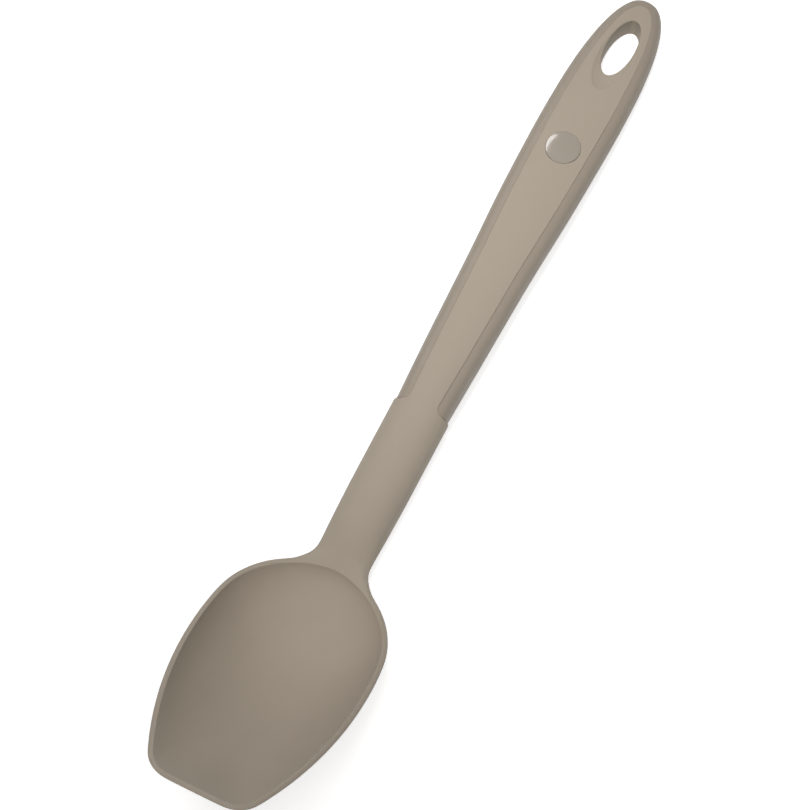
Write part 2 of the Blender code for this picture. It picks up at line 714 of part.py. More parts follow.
def build_badge(parts, rest):
    """Plain domed disc, turned about its own axis."""
    radius = BADGE_DIAMETER / 2
    bottom = -BADGE_SEAT_DEPTH + GAP
    rim = bottom + BADGE_THICKNESS - BADGE_DOME
    profile = [(0.0, rim + BADGE_DOME)]
    steps = 5
    for k in range(1, steps + 1):
        r = radius * k / steps
        profile.append((r, rim + BADGE_DOME * (1 - (r / radius) ** 2)))
    profile += [(radius, bottom), (0.0, bottom)]
    mesh = bpy.data.meshes.new("badge")
    points = [(r * MM, 0.0, z * MM) for r, z in profile]
    mesh.from_pydata(points, [(k, k + 1) for k in range(len(points) - 1)], [])
    badge = new_object("badge_disc", mesh, parts, rest)
    badge.matrix_local = arc_matrix(BADGE_AT, panel_top(BADGE_AT))
    screw = badge.modifiers.new("turn", "SCREW")
    screw.steps = 36
    screw.render_steps = 36
    screw.use_merge_vertices = True
    screw.merge_threshold = 0.00001
    screw.use_smooth_shade = True
    badge.data.materials.append(plastic("badge_gloss", (0.42, 0.37, 0.30), 0.25))


build_spoon()
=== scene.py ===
# %% [markdown]
# A sauce spoon lies on a pale table. One soft silicone skin makes its bowl, neck, sleeve and the two long panels of
# its handle. A harder nylon frame shows as two rails that meet round the tip, and a small round inlay sits in the
# front panel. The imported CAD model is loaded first, because every piece made here has to sit where its solid is.

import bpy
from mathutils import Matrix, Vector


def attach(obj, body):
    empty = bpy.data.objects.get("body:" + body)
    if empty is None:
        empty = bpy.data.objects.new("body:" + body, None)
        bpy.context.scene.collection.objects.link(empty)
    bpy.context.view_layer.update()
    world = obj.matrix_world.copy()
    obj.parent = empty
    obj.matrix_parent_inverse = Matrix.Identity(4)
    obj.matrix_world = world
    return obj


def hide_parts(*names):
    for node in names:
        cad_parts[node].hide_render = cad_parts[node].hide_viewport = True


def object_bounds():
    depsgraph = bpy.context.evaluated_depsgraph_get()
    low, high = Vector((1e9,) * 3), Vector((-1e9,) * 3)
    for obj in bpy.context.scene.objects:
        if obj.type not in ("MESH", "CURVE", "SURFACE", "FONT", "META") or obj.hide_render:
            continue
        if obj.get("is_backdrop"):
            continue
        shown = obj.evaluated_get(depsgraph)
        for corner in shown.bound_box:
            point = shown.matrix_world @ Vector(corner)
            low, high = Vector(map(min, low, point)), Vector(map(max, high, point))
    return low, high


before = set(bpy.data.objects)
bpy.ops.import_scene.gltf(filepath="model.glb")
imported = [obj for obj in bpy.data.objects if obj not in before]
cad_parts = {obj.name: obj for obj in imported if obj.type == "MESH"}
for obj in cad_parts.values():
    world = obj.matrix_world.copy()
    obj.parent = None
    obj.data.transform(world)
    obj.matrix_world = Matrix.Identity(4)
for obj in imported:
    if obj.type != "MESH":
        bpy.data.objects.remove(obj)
cad_box = [[float(v) for v in corner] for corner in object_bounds()]

import math

import bmesh
import bpy
from mathutils import Quaternion, Vector

print("CAD nodes:", sorted(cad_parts))
print("CAD box, mm:", [[round(v * 1000, 1) for v in corner] for corner in cad_box])

# %% [markdown]
# The camera comes first, since every later choice is judged through it. The photograph is nearly a plan view with a
# long lens: the camera stands about 1.5 m away, 70 degrees up, and the spoon crosses the frame on its diagonal.
# Three unit directions place it: to the right in the picture, away over the table, and back towards the camera.

# %% Camera at the photograph's viewing angle
MM = 0.001
CAMERA_DISTANCE, LENS = 1.4868, 240.2
AZIMUTH, ELEVATION = math.radians(62.89), math.radians(69.473)
to_right = Vector((math.cos(AZIMUTH), -math.sin(AZIMUTH), 0))
to_far = Vector((math.sin(AZIMUTH), math.cos(AZIMUTH), 0))
to_top = to_far * math.sin(ELEVATION) + Vector((0, 0, math.cos(ELEVATION)))
to_camera = -to_far * math.cos(ELEVATION) + Vector((0, 0, math.sin(ELEVATION)))
aim = Vector((0, 0, 10 * MM)) - to_right * 6.90 * MM - to_top * 2.52 * MM

bpy.ops.object.select_all(action="DESELECT")
bpy.ops.object.camera_add(location=aim + to_camera * CAMERA_DISTANCE)
camera = bpy.context.object
camera.name = "picture_camera"
camera.rotation_euler = to_camera.to_track_quat("Z", "Y").to_euler()
camera.data.lens = LENS
camera.data.clip_end = 20
bpy.context.scene.camera = camera
print("camera at", [round(v, 3) for v in camera.location])

# %% [markdown]
# The spoon is easiest to describe lying straight: x runs from the bowl to the handle's tip with zero at the step
# where the sleeve ends, y goes across, z goes up, all in millimetres. A last small turn and shift lays each point
# down on the table as the CAD model lies. The handle droops, so a point on it is given along an arc.

# %% From the spoon's own drawing to the table
REST_TILT = math.radians(3.096040)
REST_SHIFT = (-5.2903, 0.0, 9.6576)
HANDLE_LENGTH = 142.5
HANDLE_DROOP = math.radians(12.15)


def lay_down(point):
    x, y, z = point
    turn, lift = math.cos(REST_TILT), math.sin(REST_TILT)
    return Vector((turn * x - lift * z + REST_SHIFT[0], y, lift * x + turn * z + REST_SHIFT[2])) * MM


def on_arc(along, side, height):
    """A place on the drooping handle, in the spoon's own drawing."""
    if along <= 0:
        return Vector((along, side, height))
    radius = HANDLE_LENGTH / HANDLE_DROOP
    turn = along / radius
    return Vector(((radius + height) * math.sin(turn), side, (radius + height) * math.cos(turn) - radius))


print("tip of the handle at", [round(v * 1000, 1) for v in lay_down(on_arc(HANDLE_LENGTH, 0, 0))], "mm")

# %% [markdown]
# Widths, heights and roundings change along the spoon. Each is written down at a few places only, and a curve
# through them gives the rest. The curve never overshoots them, so that no bump appears between two places.

# %% Smooth curve through a few values


def through(points, x):
    """Value at x of a smooth curve through (place, value) pairs that never overshoots them."""
    xs, ys = [p[0] for p in points], [p[1] for p in points]
    if x <= xs[0]:
        return ys[0]
    if x >= xs[-1]:
        return ys[-1]
    steps = [(ys[i + 1] - ys[i]) / (xs[i + 1] - xs[i]) for i in range(len(xs) - 1)]
    slopes = [steps[0]]
    for before, after in zip(steps, steps[1:]):
        slopes.append(2 * before * after / (before + after) if before * after > 0 else 0.0)
    slopes.append(0.0 if abs(steps[-1]) < abs(steps[0]) else steps[-1])
    i = max(k for k in range(len(xs) - 1) if xs[k] <= x)
    width = xs[i + 1] - xs[i]
    u = (x - xs[i]) / width
    start = (1 + 2 * u) * (1 - u) ** 2 * ys[i] + u * (1 - u) ** 2 * width * slopes[i]
    return start + u * u * (3 - 2 * u) * ys[i + 1] + u * u * (u - 1) * width * slopes[i + 1]


print("a rise from 0 to 1, seen half way:", through(((0.0, 0.0), (1.0, 1.0)), 0.5))

# %% [markdown]
# The silicone skin could be joined from a bowl, a tube and a slab with Booleans, but the joins of soft silicone are
# long, even curves, and a Boolean leaves a crease there. So the skin is one mesh, grown by extruding loops of edges:
# a circle becomes the bowl's rim, the rim grows into the bowl, a hole in the bowl's back grows into the neck, the
# sleeve and the handle. A subdivision surface then makes every join smooth. Each vertex remembers its column in the
# loop, so that a freshly extruded loop can be moved to its places by number. It also remembers its row, which is only
# a label that finds a finished loop again: 0 is the lip.

# %% Starting a loop


def edit_only(obj):
    bpy.ops.object.select_all(action="DESELECT")
    bpy.context.view_layer.objects.active = obj
    obj.select_set(True)
    bpy.ops.object.mode_set(mode="EDIT")


def edited():
    mesh = bmesh.from_edit_mesh(bpy.context.edit_object.data)
    return mesh, mesh.verts.layers.int["column"], mesh.verts.layers.int["row"]


def start_loop(name, count, radius, centre):
    """A circle at its size and place, opened for editing, with its columns numbered."""
    bpy.ops.object.select_all(action="DESELECT")
    bpy.ops.mesh.primitive_circle_add(vertices=count, radius=radius, location=centre)
    bpy.ops.object.transform_apply(location=True, rotation=True, scale=True)
    obj = bpy.context.object
    obj.name = obj.data.name = name
    edit_only(obj)
    mesh = bmesh.from_edit_mesh(obj.data)
    column = mesh.verts.layers.int.new("column")
    mesh.verts.layers.int.new("row")
    mesh.verts.ensure_lookup_table()
    for k in range(count):
        mesh.verts[k][column] = k
    bmesh.update_edit_mesh(obj.data)
    bpy.ops.mesh.select_all(action="SELECT")
    return obj


# %% Growing it, loop by loop


def place_loop(points, row_number):
    """Moves the selected vertices to the points of their columns."""
    mesh, column, row = edited()
    for vertex in mesh.verts:
        if vertex.select:
            vertex.co = lay_down(points[vertex[column]])
            vertex[row] = row_number
    bmesh.update_edit_mesh(bpy.context.edit_object.data)


def extrude_to(points, row_number=0):
    bpy.ops.mesh.extrude_region_move()
    place_loop(points, row_number)


def select_where(test):
    """Selects the vertices whose (column, row) passes the test, with the edges and faces between them."""
    bpy.ops.mesh.select_all(action="DESELECT")
    mesh, column, row = edited()
    for vertex in mesh.verts:
        vertex.select = bool(test(vertex[column], vertex[row]))
    mesh.select_flush(True)
    bmesh.update_edit_mesh(bpy.context.edit_object.data)
    return sum(vertex.select for vertex in mesh.verts)


# %% [markdown]
# The rim is the line that the eye follows, so its outline is drawn as the maker would: two wide side arcs, a round
# back, two tight corners and a nearly straight front edge. Sixty-four columns go round it, closest together where
# it bends most, and ten of them mark the place at the back where the neck leaves.

# %% Outline of the bowl's rim
BOWL_LENGTH, BOWL_WIDTH, BOWL_WIDEST_AT = 88.0, 52.0, 38.0
BOWL_SIDE_RADIUS, BOWL_BACK_RADIUS, BOWL_FRONT_RADIUS = 110.0, 27.5, 9.0
BOWL_DEEPEST_AT, OUTER_DEPTH, INNER_DEPTH = 36.0, 17.9, 14.5
LIP_ROUND = 0.8
RIM_TILT = math.radians(24.2)
SLEEVE_LENGTH, RIM_RISE = 49.2, 0.3
NECK_COLUMNS = 5  # on each side of the middle of the bowl's back
NECK_SHARE = 0.349  # of the back arc that the neck takes


def rim_steps():
    """For each column of one half, back to front: which arc it lies on, and how far along that arc."""
    steps = [("back", NECK_SHARE * k / NECK_COLUMNS) for k in range(NECK_COLUMNS)]
    steps += [("back", NECK_SHARE + (1 - NECK_SHARE) * k / 6) for k in range(6)]
    steps += [("side", k / 13) for k in range(13)]
    steps += [("front", k / 5) for k in range(5)]
    return steps + [("edge", k / 3) for k in range(4)]


RIM_STEPS = rim_steps()
print("rim columns:", 2 * (len(RIM_STEPS) - 1))

# %% Places on the rim


def rim_point(column, lip=0.0, back_lip=0.0):
    """Place of a column on the rim's outline, moved inwards by the lip: along the bowl and across it."""
    mirror = -1 if column > 32 else 1
    part, share = RIM_STEPS[64 - column if column > 32 else column]
    side_q = BOWL_WIDTH / 2 - BOWL_SIDE_RADIUS
    side_r, back_r, front_r = BOWL_SIDE_RADIUS - lip, BOWL_BACK_RADIUS - lip, BOWL_FRONT_RADIUS - lip
    back_p = back_lip + back_r
    back_q = side_q + math.sqrt((side_r - back_r) ** 2 - (back_p - BOWL_WIDEST_AT) ** 2)
    front_p = BOWL_LENGTH - lip - front_r
    front_q = side_q + math.sqrt((side_r - front_r) ** 2 - (front_p - BOWL_WIDEST_AT) ** 2)
    back_turn = math.atan2(back_q - side_q, back_p - BOWL_WIDEST_AT)
    front_turn = math.atan2(front_q - side_q, front_p - BOWL_WIDEST_AT)
    if part == "edge":
        return front_p + front_r, mirror * front_q * (1 - share)
    centre, radius, begin, end = {
        "back": ((back_p, back_q), back_r, math.pi - math.asin(-back_q / back_r), back_turn),
        "side": ((BOWL_WIDEST_AT, side_q), side_r, back_turn, front_turn),
        "front": ((front_p, front_q), front_r, front_turn, 0.0),
    }[part]
    turn = begin + (end - begin) * share
    return centre[0] + radius * math.cos(turn), mirror * (centre[1] + radius * math.sin(turn))


def from_rim(p, q, depth):
    """The rim leans against the sleeve, so its own plane is turned into the drawing."""
    x = -SLEEVE_LENGTH - p * math.cos(RIM_TILT) - depth * math.sin(RIM_TILT)
    return Vector((x, q, RIM_RISE + p * math.sin(RIM_TILT) - depth * math.cos(RIM_TILT)))


def rim_loop(lip, back_lip, depth):
    return [from_rim(*rim_point(k, lip, back_lip), depth(k)) for k in range(64)]


print("bowl's rim, mm:", BOWL_LENGTH, "long and", BOWL_WIDTH, "wide")

# %% [markdown]
# Under the rim the bowl is a rounded dish whose corners fade into an oval towards its bottom. One rule gives both
# of its faces: how far out a loop lies sets how deep it is. The outside is fuller at the sides, and the wall between
# the two faces is thickest at the heel.

# %% Depth of the bowl


def edge_ray(column, inner):
    """Direction and distance from the deepest point to the rim, seen from above the rim's plane."""
    p, q = rim_point(column, 1.6, 2.2) if inner else rim_point(column)
    return math.atan2(q, p - BOWL_DEEPEST_AT), math.hypot(p - BOWL_DEEPEST_AT, q)


def way_out(turn, reach, share):
    """Distance from the deepest point at a share of the way to the rim: an oval inside, the outline at the rim."""
    half_length = BOWL_LENGTH - BOWL_DEEPEST_AT if math.cos(turn) > 0 else BOWL_DEEPEST_AT
    oval = min(1 / math.hypot(math.cos(turn) / half_length, math.sin(turn) / (BOWL_WIDTH / 2)), reach)
    return share * (oval + (reach - oval) * share**3)


def on_bowl(turn, out, share, inner):
    return from_rim(BOWL_DEEPEST_AT + out * math.cos(turn), out * math.sin(turn), bowl_depth(turn, share, inner))


def bowl_point(column, share, inner):
    turn, reach = edge_ray(column, inner)
    return on_bowl(turn, way_out(turn, reach, share), share, inner)


def bowl_depth(turn, share, inner):
    to_front = max(0.0, math.cos(turn)) ** 2
    if inner:
        # a little steeper under the lip than the dish alone, because the photo has a narrow shaded band there
        return INNER_DEPTH * (1 - share * share) ** (0.68 + 0.22 * to_front)
    return LIP_ROUND + (OUTER_DEPTH - LIP_ROUND) * (1 - share * share) ** (0.62 + 0.28 * to_front)


def bowl_loop(share, inner):
    return [bowl_point(k, share, inner) for k in range(64)]


OUTER_SHARES = (0.97, 0.89, 0.78, 0.66, 0.53)
INNER_SHARES = (0.985, 0.95, 0.88, 0.78, 0.66, 0.53)
print("bowl, mm deep:", INNER_DEPTH, "inside and", OUTER_DEPTH, "outside")

# %% [markdown]
# The lip is the soft bead round the bowl. Its first loop lies on top of the bead, the next ones roll over its
# outside, and the rest run down the dish. Three loops close together make the bead round without a bevel.

# %% Outside of the bowl, grown from the lip


def lip_lift(column):
    """The lip swells a little at the back, where the neck runs into it."""
    away = min(column, 64 - column) / 6
    return -0.5 * (1 - away * away) ** 2 if away < 1 else 0.0


LIP_LOOP = rim_loop(1.3, 1.9, lip_lift)
LIP_INSIDE = rim_loop(1.52, 2.12, lambda k: 0.09 + lip_lift(k) * 0.9)
OUTER_LOOPS = [
    rim_loop(0.85, 0.85, lambda k: 0.08),
    rim_loop(0.1, 0.1, lambda k: 0.38),
    rim_loop(-0.155, -0.155, lambda k: 1.0),
] + [bowl_loop(share, False) for share in OUTER_SHARES]

skin = start_loop("skin", 64, BOWL_WIDTH / 2 * MM, lay_down(from_rim(BOWL_DEEPEST_AT, 0, 0)))
place_loop(LIP_LOOP, 0)
for number, loop in enumerate(OUTER_LOOPS, 1):
    extrude_to(loop, number)
print("outside of the bowl:", len(skin.data.vertices), "vertices before editing,", len(OUTER_LOOPS), "loops grown")

# %% [markdown]
# A fan of triangles at the bottom of a bowl pinches the light on it. A grid of squares doesn't, so the last loop is
# closed with Grid Fill, and the new points are then let down onto the bowl's surface.

# %% Bottom of the bowl, as a grid
LAST_OUTER, LAST_INNER = len(OUTER_LOOPS), 50 + len(INNER_SHARES)
print("rows that the two grids close:", LAST_OUTER, "and", LAST_INNER)


def reach_towards(turn, inner):
    """Distance to the rim in any direction, from the two columns on either side of it."""
    rays = sorted(edge_ray(k, inner) for k in range(64))
    rays = [(rays[-1][0] - 2 * math.pi, rays[-1][1])] + rays + [(rays[0][0] + 2 * math.pi, rays[0][1])]
    i = max(k for k in range(len(rays) - 1) if rays[k][0] <= turn)
    part = (turn - rays[i][0]) / (rays[i + 1][0] - rays[i][0])
    return rays[i][1] + (rays[i + 1][1] - rays[i][1]) * part


def let_down(p, q, inner):
    """The point of the bowl's surface under a place in the rim's plane."""
    turn, out = math.atan2(q, p - BOWL_DEEPEST_AT), math.hypot(p - BOWL_DEEPEST_AT, q)
    reach = reach_towards(turn, inner)
    low, high = 0.0, 1.0
    for _ in range(30):
        share = (low + high) / 2
        low, high = (share, high) if way_out(turn, reach, share) < out else (low, share)
    return on_bowl(turn, out, share, inner)


def to_rim_plane(point):
    """The reverse of lay_down and from_rim: a vertex's place along and across the rim's plane."""
    x, y, z = (point[i] / MM - REST_SHIFT[i] for i in range(3))
    turn, lift = math.cos(REST_TILT), math.sin(REST_TILT)
    x, z = turn * x + lift * z, -lift * x + turn * z
    dx, dz = x + SLEEVE_LENGTH, z - RIM_RISE
    return -dx * math.cos(RIM_TILT) + dz * math.sin(RIM_TILT), y


# %% Filling it


def fill_bottom(last_row, inner, filled_row):
    select_where(lambda column, row: row == last_row)
    mesh, column, row = edited()
    mesh.select_history.clear()
    mesh.select_history.add(next(v for v in mesh.verts if v[row] == last_row and v[column] == 8))
    before = {v.index for v in mesh.verts}
    bmesh.update_edit_mesh(bpy.context.edit_object.data)
    bpy.ops.mesh.fill_grid(span=16)
    mesh, column, row = edited()
    mesh.verts.index_update()
    moved = 0
    for vertex in mesh.verts:
        if vertex.index in before:
            continue
        vertex.co = lay_down(let_down(*to_rim_plane(vertex.co), inner))
        vertex[row] = filled_row
        moved += 1
    bmesh.update_edit_mesh(bpy.context.edit_object.data)
    print("let down", moved, "grid points")


fill_bottom(LAST_OUTER, False, 40)

# %% [markdown]
# The hollow starts from the same lip, so that the bowl's two faces are one closed skin. Its first loops fall steeply,
# which draws the lip as a line of its own, and the rest follow the dish down to a second grid.

# %% Hollow of the bowl, grown from the same lip
select_where(lambda column, row: row == 0)
extrude_to(LIP_INSIDE, 49)
extrude_to(rim_loop(1.62, 2.22, lambda k: 0.38 + lip_lift(k) * 0.4), 50)
for number, share in enumerate(INNER_SHARES, 51):
    extrude_to(bowl_loop(share, True), number)
fill_bottom(LAST_INNER, True, 80)

# %% [markdown]
# The neck leaves the bowl's back through an opening ten faces wide and six high. The maker's drawing gives the
# section of the neck at each place: a rounded one in the sleeve, sharper at the sides where it becomes the web
# that spreads round the bowl.

# %% Sections of the neck and the sleeve
SLEEVE_WIDTH, SLEEVE_HEIGHT = 16.6, 12.4
NECK_WIDTH, NECK_UNDERSIDE = 15.7, 5.9
SECTION_FULLNESS = 2.15
NECK_SWELL = 0.13  # added to each side, because the subdivision surface draws it in by as much
NECK_START = -SLEEVE_LENGTH + 3.6
NECK_WIDTHS = ((NECK_START, NECK_WIDTH / 2), (-37.2, 8.08), (-23.2, SLEEVE_WIDTH / 2), (0.0, SLEEVE_WIDTH / 2))
NECK_TOPS = ((-SLEEVE_LENGTH, 1.4), (-43.2, 3.7), (-36.2, 5.7), (-28.2, 6.2), (0.0, 6.2))
NECK_BOTTOMS = ((-44.2, -NECK_UNDERSIDE), (-33.2, -6.2), (0.0, -6.2))
NECK_FULLNESSES = ((NECK_START, 1.75), (-36.2, SECTION_FULLNESS), (0.0, SECTION_FULLNESS))


def neck_section(x, shrink=0.0):
    """Thirty-two points: column 0 on top, 8 and 24 at the sides, 16 below."""
    tables = (NECK_WIDTHS, NECK_TOPS, NECK_BOTTOMS, NECK_FULLNESSES)
    half, top, bottom, fullness = (through(table, x) for table in tables)
    half += NECK_SWELL
    section = []
    for k in range(32):
        turn = math.pi / 2 - math.pi / 16 * k
        across, up = math.cos(turn), math.sin(turn)
        y = (half - shrink) * math.copysign(abs(across) ** (2 / fullness), across)
        rise = (top if up > 0 else -bottom) - shrink
        section.append(Vector((x, y, rise * math.copysign(abs(up) ** (2 / fullness), up))))
    return section


print("sleeve, mm:", SLEEVE_WIDTH, "wide and", SLEEVE_HEIGHT, "high")

# %% [markdown]
# The neck needs a way out of the bowl. The faces at the back are deleted, and the thirty-two points round the opening
# get the neck's own column numbers, from the middle of the top round and back to it.

# %% Opening in the bowl's back
BOWL_ROWS = [LIP_LOOP] + OUTER_LOOPS
OPEN_ROWS = 6


def opening_place(k):
    """Bowl column and row of the neck's column k, going round the opening from the top middle."""
    step = k if k <= 16 else 32 - k
    if step <= NECK_COLUMNS:
        column, row = step, 0
    elif step <= NECK_COLUMNS + OPEN_ROWS:
        column, row = NECK_COLUMNS, step - NECK_COLUMNS
    else:
        column, row = 16 - step, OPEN_ROWS
    return (column if k <= 16 else -column) % 64, row


def in_opening(column, row):
    return min(column, 64 - column) <= NECK_COLUMNS and 0 <= row <= OPEN_ROWS


select_where(in_opening)
bpy.ops.mesh.delete(type="ONLY_FACE")
mesh, column, row = edited()
loose = [e for e in mesh.edges if not e.link_faces]
bmesh.ops.delete(mesh, geom=loose, context="EDGES")
bmesh.update_edit_mesh(skin.data)

places = {opening_place(k): k for k in range(32)}
picked = select_where(lambda column, row: (column, row) in places)
mesh, column, row = edited()
for vertex in mesh.verts:
    if vertex.select:
        vertex[column] = places[(vertex[column], vertex[row])]
bmesh.update_edit_mesh(skin.data)
print("opening of", picked, "vertices, of 32")

# %% [markdown]
# The web between the bowl and the neck is a set of curves. Each starts at the opening in the direction in which the
# bowl's surface arrives there, and ends in the direction of the neck, so both joins are smooth by themselves. The
# curves on top start gently, to keep the hollow at the lip as shallow as it is on the real spoon.

# %% Web between the bowl and the neck
TOP_PULLS = (0.35, 0.35, 0.35, 0.4, 0.55, 0.8)  # how firmly each curve on top starts, from the middle to the side


def web_curves():
    curves = []
    arrive, beyond = neck_section(NECK_START), neck_section(NECK_START + 0.5)
    for k in range(32):
        column, row = opening_place(k)
        start = BOWL_ROWS[row][column]
        leave = Vector((0, 0, 0))
        outward = 1 if k <= 16 else -1
        if row <= 2:
            leave += (LIP_LOOP[column] - LIP_INSIDE[column]).normalized() * (1.0, 0.5, 0.2)[row]
        if row == OPEN_ROWS:
            leave += (start - BOWL_ROWS[row + 1][column]).normalized()
        if min(column, 64 - column) == NECK_COLUMNS:
            leave += (start - BOWL_ROWS[row][(column + outward) % 64]).normalized()
        chord = (arrive[k] - start).length
        pull = TOP_PULLS[min(column, 64 - column)] if row == 0 else 1.0
        end_pull = 0.8 if row in (0, OPEN_ROWS) else 1.0
        goes = (beyond[k] - arrive[k]).normalized()
        curves.append((start, leave.normalized() * chord * pull, arrive[k], goes * chord * end_pull))
    return curves


def on_curve(curve, u):
    start, leave, end, arrive = curve
    blend = (2 * u**3 - 3 * u**2 + 1, u**3 - 2 * u**2 + u, -2 * u**3 + 3 * u**2, u**3 - u**2)
    return start * blend[0] + leave * blend[1] + end * blend[2] + arrive * blend[3]


curves = web_curves()
for number, u in enumerate((0.2, 0.4, 0.6, 0.8), 100):
    extrude_to([on_curve(curve, u) for curve in curves], number)
neck_places = [NECK_START + (-1.3 - NECK_START) * k / 15 for k in range(16)] + [-0.25]
for number, x in enumerate(neck_places, 104):
    extrude_to(neck_section(x), number)
print("neck and sleeve:", len(neck_places) + 4, "loops")

# %% [markdown]
# Past the step the same thirty-two columns become the soft middle of the handle: nine on the front panel, nine on
# the back panel and the rest down the sides, where the rails lie against them. The panels leave the sleeve with its
# own roundness and flatten slowly into a low crown.

# %% Widths and heights of the handle
TIP_ROUNDING, TIP_FULLNESS, RAIL_WIDTH, RAIL_END_RADIUS = 45.1, 2.47, 3.5, 2.2
WIDEST_AT = HANDLE_LENGTH - TIP_ROUNDING
SHANK_WIDTHS = ((0.0, 15.6), (0.21, 17.2), (0.48, 18.9), (0.745, 21.35), (1.0, 22.25))
PANEL_PROUD = ((0.0, 0.26), (0.745, 0.22), (0.887, 0.0))
PANEL_EDGE_HEIGHTS = ((0.0, 5.3), (0.284, 4.6), (0.674, 4.2), (1.0, 3.1))
PANEL_CROWNS = ((0.0, 0.9), (0.284, 0.8), (0.674, 0.6), (1.0, 0.4))
PANEL_RUN_OUT = 30.0
SEAM = 0.01  # clearance between the soft panels and the rails
EDGE_ROUNDS = ((0.0, 0.16), (0.6, 0.13), (0.83, 0.02))  # of the panels, crisper where they meet the rails flush
RAIL_ROUND = 0.02  # the rails' own inner edge is crisp, so that a step shows there and no groove
print("handle, mm wide:", SHANK_WIDTHS[0][1], "at the sleeve and", SHANK_WIDTHS[-1][1], "at its widest")

# %% Shape of the soft panels


def rounded_end(along, start, end):
    reach = max(0.0, (along - start) / (end - start))
    return max(0.0, 1 - reach**TIP_FULLNESS) ** (1 / TIP_FULLNESS)


def shank_half(along):
    return through(SHANK_WIDTHS, along / WIDEST_AT) / 2


def panel_half(along, inset=SEAM):
    """Half width of the soft panel, or of the room between the rails when the inset is zero."""
    round_off = RAIL_END_RADIUS + inset
    before = min(max(RAIL_END_RADIUS - along, 0.0), round_off)
    half = shank_half(along) - RAIL_WIDTH + RAIL_END_RADIUS - math.sqrt(round_off**2 - before**2)
    return half * rounded_end(along, WIDEST_AT, HANDLE_LENGTH - RAIL_WIDTH - inset)


def sleeve_top(y):
    share = min(abs(y) / (SLEEVE_WIDTH / 2), 1.0)
    return SLEEVE_HEIGHT / 2 * (1 - share**SECTION_FULLNESS) ** (1 / SECTION_FULLNESS)


def panel_height(along, y):
    """Height of the soft panel above the middle of the handle."""
    widest = max(panel_half(RAIL_END_RADIUS), shank_half(along) - RAIL_WIDTH)
    share = along / HANDLE_LENGTH
    crowned = through(PANEL_EDGE_HEIGHTS, share) + through(PANEL_CROWNS, share) * (1 - (y / widest) ** 2)
    away = min(max(along / PANEL_RUN_OUT, 0.0), 1.0)
    own = away * away * (3 - 2 * away)
    return sleeve_top(y) * (1 - own) + crowned * own


print("panel half way along, mm above the middle:", round(panel_height(HANDLE_LENGTH / 2, 0.0), 2))

# %% Places on the soft middle


def edge_round(along):
    return through(EDGE_ROUNDS, along / HANDLE_LENGTH)


def wall_level(level, edge, round_off):
    """Height of the side wall's levels: 5 and 6 round the edge off, 7 and 8 go down to the middle."""
    return {5: edge - round_off * 0.3, 6: edge - round_off * 1.3, 7: edge * 0.5, 8: 0.0}[level]


def on_section(k):
    """Side, face and level of column k: level 0 is the middle of a face, 8 is half way down a side."""
    side, step = (1, k) if k <= 16 else (-1, 32 - k)
    return (side, 1, step) if step <= 8 else (side, -1, 16 - step)


def bar_point(along, half, k):
    """Place of column k on the handle's soft middle."""
    side, face, level = on_section(k)
    round_off = edge_round(along)
    edge = panel_height(along, half)
    if level <= 4:
        y = (half - round_off) * level / 4
        height = panel_height(along, y)
    else:
        y = half - (round_off * 0.3 if level == 5 else 0.0)
        height = wall_level(level, edge, round_off)
    return on_arc(along, side * y, face * height)


print("side, face and level of columns 0, 8 and 20:", [on_section(k) for k in (0, 8, 20)])

# %% [markdown]
# On the real spoon the sleeve ends in a small step at each side, where the hard rails begin, while the panels run on
# without a mark. So the columns at the sides turn in there, and those of the panels keep going.

# %% Step at the sleeve's end


def at_step(x, shrink, top_x):
    """The sides follow the sleeve's rounded end, while the panels run on over it."""
    sides, panels = neck_section(min(x, 0.0), shrink), neck_section(min(top_x, 0.0))
    loop = []
    for k in range(32):
        level = on_section(k)[2]
        point = sides[k].copy() if level > 4 else panels[k].copy()
        point.x = x if level > 4 else top_x
        loop.append(point)
    return loop


extrude_to(at_step(-0.05, 0.03, -0.12), 121)
extrude_to(at_step(0.0, 0.13, 0.0), 122)
inner_end = [bar_point(0.0, panel_half(0.0), k) for k in range(32)]
for k in range(32):
    inner_end[k].x = 0.14 if on_section(k)[2] <= 4 else 0.02
extrude_to(inner_end, 123)
print("step at each side, mm:", round(SLEEVE_WIDTH / 2 - shank_half(0.0), 2))

# %% [markdown]
# Two places on the handle need loops of their own: the seat of the round inlay and the hang hole. Each takes the
# place of a block of faces six columns wide and eight rows long, whose edge is first pushed onto an oval. The rows
# of the handle are therefore spaced to suit those two ovals.

# %% Rows along the handle
HOLE_AT, HOLE_LENGTH, HOLE_WIDTH = 123.75, 19.8, 8.4
INLAY_AT, INLAY_RADIUS = 86.7, 5.0
SEAT_OVAL = (6.2, 6.2, 6.2)  # towards the tip, towards the bowl, to the side
HOLE_OVAL = (11.3, 16.3, 5.62)


def oval_point(centre, oval, k):
    """Place of the k-th of 28 points round an oval that may be longer towards the bowl."""
    turn = 2 * math.pi * k / 28
    along = math.cos(turn) * (oval[0] if math.cos(turn) > 0 else oval[1])
    return centre + along, oval[2] * math.sin(turn)


